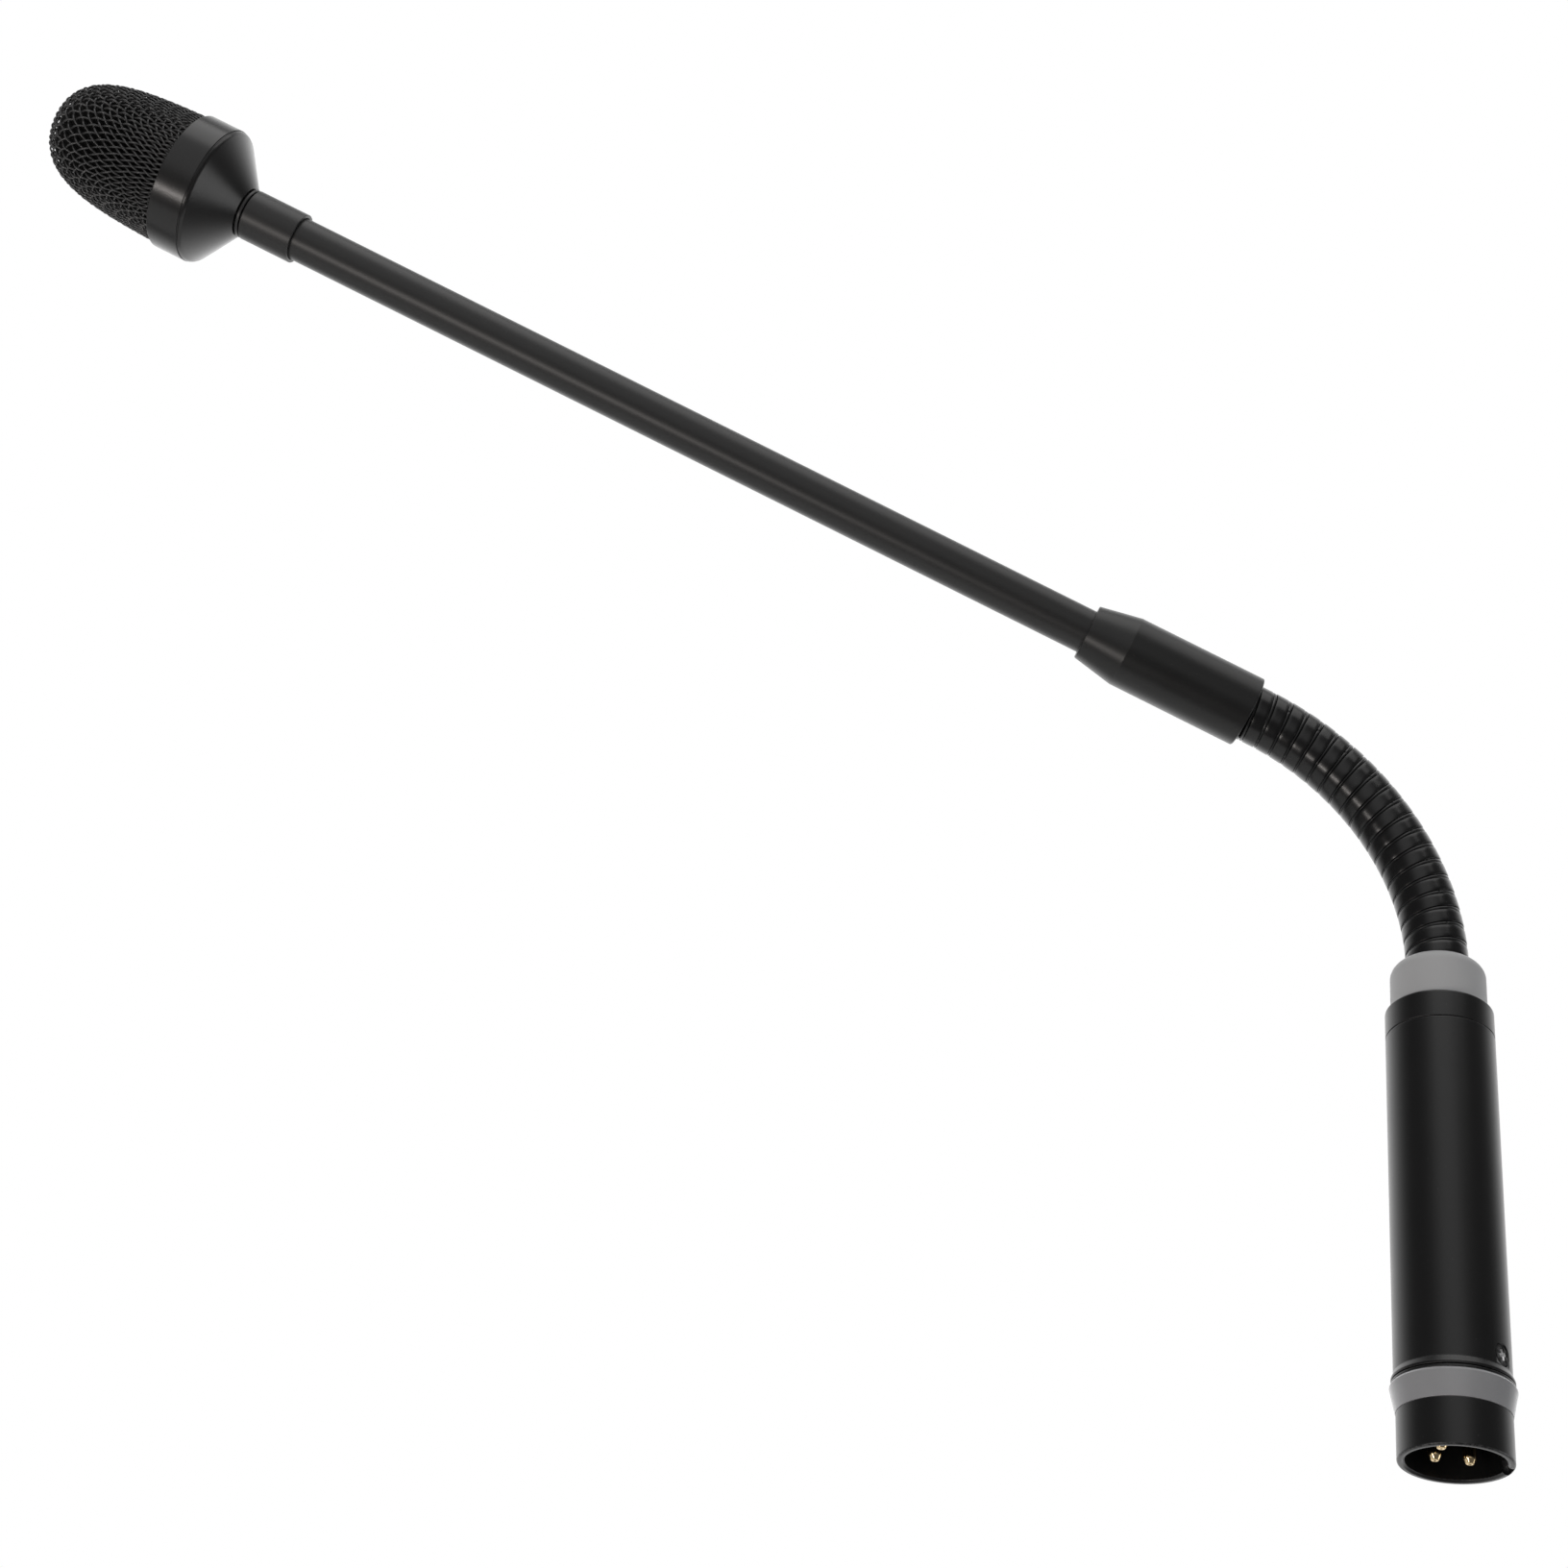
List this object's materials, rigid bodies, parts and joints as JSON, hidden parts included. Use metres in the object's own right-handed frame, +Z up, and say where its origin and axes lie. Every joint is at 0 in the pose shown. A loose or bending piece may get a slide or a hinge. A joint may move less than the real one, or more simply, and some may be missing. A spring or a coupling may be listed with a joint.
{
  "type": "gooseneck podium microphone",
  "caption": "Slim podium microphone: XLR handle, flexible wound gooseneck, straight boom and a small domed wire-mesh head.",
  "frame": {"origin": "centre of the connector shell's open rim", "axes": "+Z up the handle's axis, away from the connector's mouth; the gooseneck bends towards -X, so the head lies at -X; Y is across the plane of the bend"},
  "size_m": [0.3034, 0.0284, 0.2282],
  "materials": {
    "black_shell": "satin black",
    "insert_plastic": "matt, moulded",
    "gold": "gold plated, polished",
    "tinned_metal": "tinned, satin",
    "grey_ring": "semi-matt grey, moulded",
    "handle_black": "black anodised, satin",
    "dark_screw": "black oxide with worn recess",
    "circuit_board": "green solder mask",
    "capacitor_sleeve": "shrink sleeve",
    "carrier_plastic": "natural nylon",
    "wire_insulation": "soft insulation",
    "black_rubber": "matt",
    "grey_rubber": "matt grey, moulded",
    "plain_steel": "turned",
    "lead_jacket": "matt",
    "winding_black": "gloss black",
    "boom_black": "satin black",
    "head_black": "fine satin black",
    "mesh_black": "satin black woven wire",
    "screen_black": "fine dark cloth",
    "brass": "turned"
  },
  "bodies": {
    "handle": {"xlr_shell": "black_shell", "xlr_insert": "insert_plastic", "contact_pin_1": "gold", "contact_pin_2": "gold", "contact_pin_3": "gold", "ground_contact": "tinned_metal", "rattle_ring": "grey_ring", "handle_flange": "black_shell", "handle_tube": "handle_black", "retaining_screw": "dark_screw", "preamp_board": "circuit_board", "output_transformer": "tinned_metal", "board_capacitors": "capacitor_sleeve", "lower_carrier": "carrier_plastic", "upper_carrier": "carrier_plastic", "output_wires": "wire_insulation", "end_cap": "handle_black", "o_ring": "black_rubber", "rubber_boot": "grey_rubber", "lower_ferrule": "plain_steel", "ferrule_nut": "plain_steel", "handle_lead": "lead_jacket"},
    "turn_01": {"gooseneck_turn_01": "winding_black"},
    "turn_02": {"gooseneck_turn_02": "winding_black"},
    "turn_03": {"gooseneck_turn_03": "winding_black"},
    "turn_04": {"gooseneck_turn_04": "winding_black"},
    "turn_05": {"gooseneck_turn_05": "winding_black"},
    "turn_06": {"gooseneck_turn_06": "winding_black"},
    "turn_07": {"gooseneck_turn_07": "winding_black"},
    "turn_08": {"gooseneck_turn_08": "winding_black"},
    "turn_09": {"gooseneck_turn_09": "winding_black"},
    "turn_10": {"gooseneck_turn_10": "winding_black"},
    "turn_11": {"gooseneck_turn_11": "winding_black"},
    "turn_12": {"gooseneck_turn_12": "winding_black"},
    "turn_13": {"gooseneck_turn_13": "winding_black"},
    "turn_14": {"gooseneck_turn_14": "winding_black"},
    "turn_15": {"gooseneck_turn_15": "winding_black"},
    "turn_16": {"gooseneck_turn_16": "winding_black"},
    "turn_17": {"gooseneck_turn_17": "winding_black"},
    "turn_18": {"gooseneck_turn_18": "winding_black"},
    "turn_19": {"gooseneck_turn_19": "winding_black"},
    "turn_20": {"gooseneck_turn_20": "winding_black"},
    "boom": {"coupler_sleeve": "boom_black", "upper_ferrule": "plain_steel", "grub_screw": "dark_screw", "boom_tube": "boom_black", "boom_lead": "lead_jacket", "neck_sleeve": "boom_black", "neck_lock_ring": "boom_black", "rear_housing": "head_black", "front_ring": "head_black", "mesh_grille": "mesh_black", "inner_screen": "screen_black", "capsule_mount": "black_rubber", "capsule_body": "tinned_metal", "capsule_diaphragm": "gold", "capsule_backplate": "brass", "capsule_board": "circuit_board"}
  },
  "joints": [
    {"name": "bend_01", "type": "hinge", "parent": "handle", "child": "turn_01", "pos_m": [0, 0, 0.0942], "axis": [0, -1, 0], "range_deg": [-9, 3]},
    {"name": "sway_01", "type": "hinge", "parent": "turn_01", "child": "turn_02", "pos_m": [-0.00011, 0, 0.09752], "axis": [0.9978, 0, 0.0661], "range_deg": [-4, 4]},
    {"name": "bend_02", "type": "hinge", "parent": "turn_02", "child": "turn_03", "pos_m": [-0.00044, 0, 0.10082], "axis": [0, -1, 0], "range_deg": [-9, 3]},
    {"name": "sway_02", "type": "hinge", "parent": "turn_03", "child": "turn_04", "pos_m": [-0.00098, 0, 0.10409], "axis": [0.9804, 0, 0.1971], "range_deg": [-4, 4]},
    {"name": "bend_03", "type": "hinge", "parent": "turn_04", "child": "turn_05", "pos_m": [-0.00175, 0, 0.10733], "axis": [0, -1, 0], "range_deg": [-9, 3]},
    {"name": "sway_03", "type": "hinge", "parent": "turn_05", "child": "turn_06", "pos_m": [-0.00272, 0, 0.1105], "axis": [0.9458, 0, 0.3247], "range_deg": [-4, 4]},
    {"name": "bend_04", "type": "hinge", "parent": "turn_06", "child": "turn_07", "pos_m": [-0.0039, 0, 0.1136], "axis": [0, -1, 0], "range_deg": [-9, 3]},
    {"name": "sway_04", "type": "hinge", "parent": "turn_07", "child": "turn_08", "pos_m": [-0.00528, 0, 0.11662], "axis": [0.8947, 0, 0.4466], "range_deg": [-4, 4]},
    {"name": "bend_05", "type": "hinge", "parent": "turn_08", "child": "turn_09", "pos_m": [-0.00686, 0, 0.11954], "axis": [0, -1, 0], "range_deg": [-9, 3]},
    {"name": "sway_05", "type": "hinge", "parent": "turn_09", "child": "turn_10", "pos_m": [-0.00863, 0, 0.12235], "axis": [0.828, 0, 0.5607], "range_deg": [-4, 4]},
    {"name": "bend_06", "type": "hinge", "parent": "turn_10", "child": "turn_11", "pos_m": [-0.01058, 0, 0.12503], "axis": [0, -1, 0], "range_deg": [-9, 3]},
    {"name": "sway_06", "type": "hinge", "parent": "turn_11", "child": "turn_12", "pos_m": [-0.01271, 0, 0.12758], "axis": [0.7468, 0, 0.665], "range_deg": [-4, 4]},
    {"name": "bend_07", "type": "hinge", "parent": "turn_12", "child": "turn_13", "pos_m": [-0.015, 0, 0.12999], "axis": [0, -1, 0], "range_deg": [-9, 3]},
    {"name": "sway_07", "type": "hinge", "parent": "turn_13", "child": "turn_14", "pos_m": [-0.01744, 0, 0.13224], "axis": [0.6526, 0, 0.7577], "range_deg": [-4, 4]},
    {"name": "bend_08", "type": "hinge", "parent": "turn_14", "child": "turn_15", "pos_m": [-0.02002, 0, 0.13432], "axis": [0, -1, 0], "range_deg": [-9, 3]},
    {"name": "sway_08", "type": "hinge", "parent": "turn_15", "child": "turn_16", "pos_m": [-0.02274, 0, 0.13622], "axis": [0.547, 0, 0.8371], "range_deg": [-4, 4]},
    {"name": "bend_09", "type": "hinge", "parent": "turn_16", "child": "turn_17", "pos_m": [-0.02558, 0, 0.13795], "axis": [0, -1, 0], "range_deg": [-9, 3]},
    {"name": "sway_09", "type": "hinge", "parent": "turn_17", "child": "turn_18", "pos_m": [-0.02852, 0, 0.13948], "axis": [0.4318, 0, 0.902], "range_deg": [-4, 4]},
    {"name": "bend_10", "type": "hinge", "parent": "turn_18", "child": "turn_19", "pos_m": [-0.03156, 0, 0.14081], "axis": [0, -1, 0], "range_deg": [-9, 3]},
    {"name": "sway_10", "type": "hinge", "parent": "turn_19", "child": "turn_20", "pos_m": [-0.03468, 0, 0.14194], "axis": [0.3091, 0, 0.951], "range_deg": [-4, 4]},
    {"name": "bend_11", "type": "hinge", "parent": "turn_20", "child": "boom", "pos_m": [-0.03786, 0, 0.14291], "axis": [0, -1, 0], "range_deg": [-9, 3]}
  ],
  "couplings": [
    {"joint": "bend_02", "follows": "bend_01", "ratio": 1},
    {"joint": "sway_02", "follows": "sway_01", "ratio": 1},
    {"joint": "bend_03", "follows": "bend_01", "ratio": 1},
    {"joint": "sway_03", "follows": "sway_01", "ratio": 1},
    {"joint": "bend_04", "follows": "bend_01", "ratio": 1},
    {"joint": "sway_04", "follows": "sway_01", "ratio": 1},
    {"joint": "bend_05", "follows": "bend_01", "ratio": 1},
    {"joint": "sway_05", "follows": "sway_01", "ratio": 1},
    {"joint": "bend_06", "follows": "bend_01", "ratio": 1},
    {"joint": "sway_06", "follows": "sway_01", "ratio": 1},
    {"joint": "bend_07", "follows": "bend_01", "ratio": 1},
    {"joint": "sway_07", "follows": "sway_01", "ratio": 1},
    {"joint": "bend_08", "follows": "bend_01", "ratio": 1},
    {"joint": "sway_08", "follows": "sway_01", "ratio": 1},
    {"joint": "bend_09", "follows": "bend_01", "ratio": 1},
    {"joint": "sway_09", "follows": "sway_01", "ratio": 1},
    {"joint": "bend_10", "follows": "bend_01", "ratio": 1},
    {"joint": "sway_10", "follows": "sway_01", "ratio": 1},
    {"joint": "bend_11", "follows": "bend_01", "ratio": 1}
  ]
}
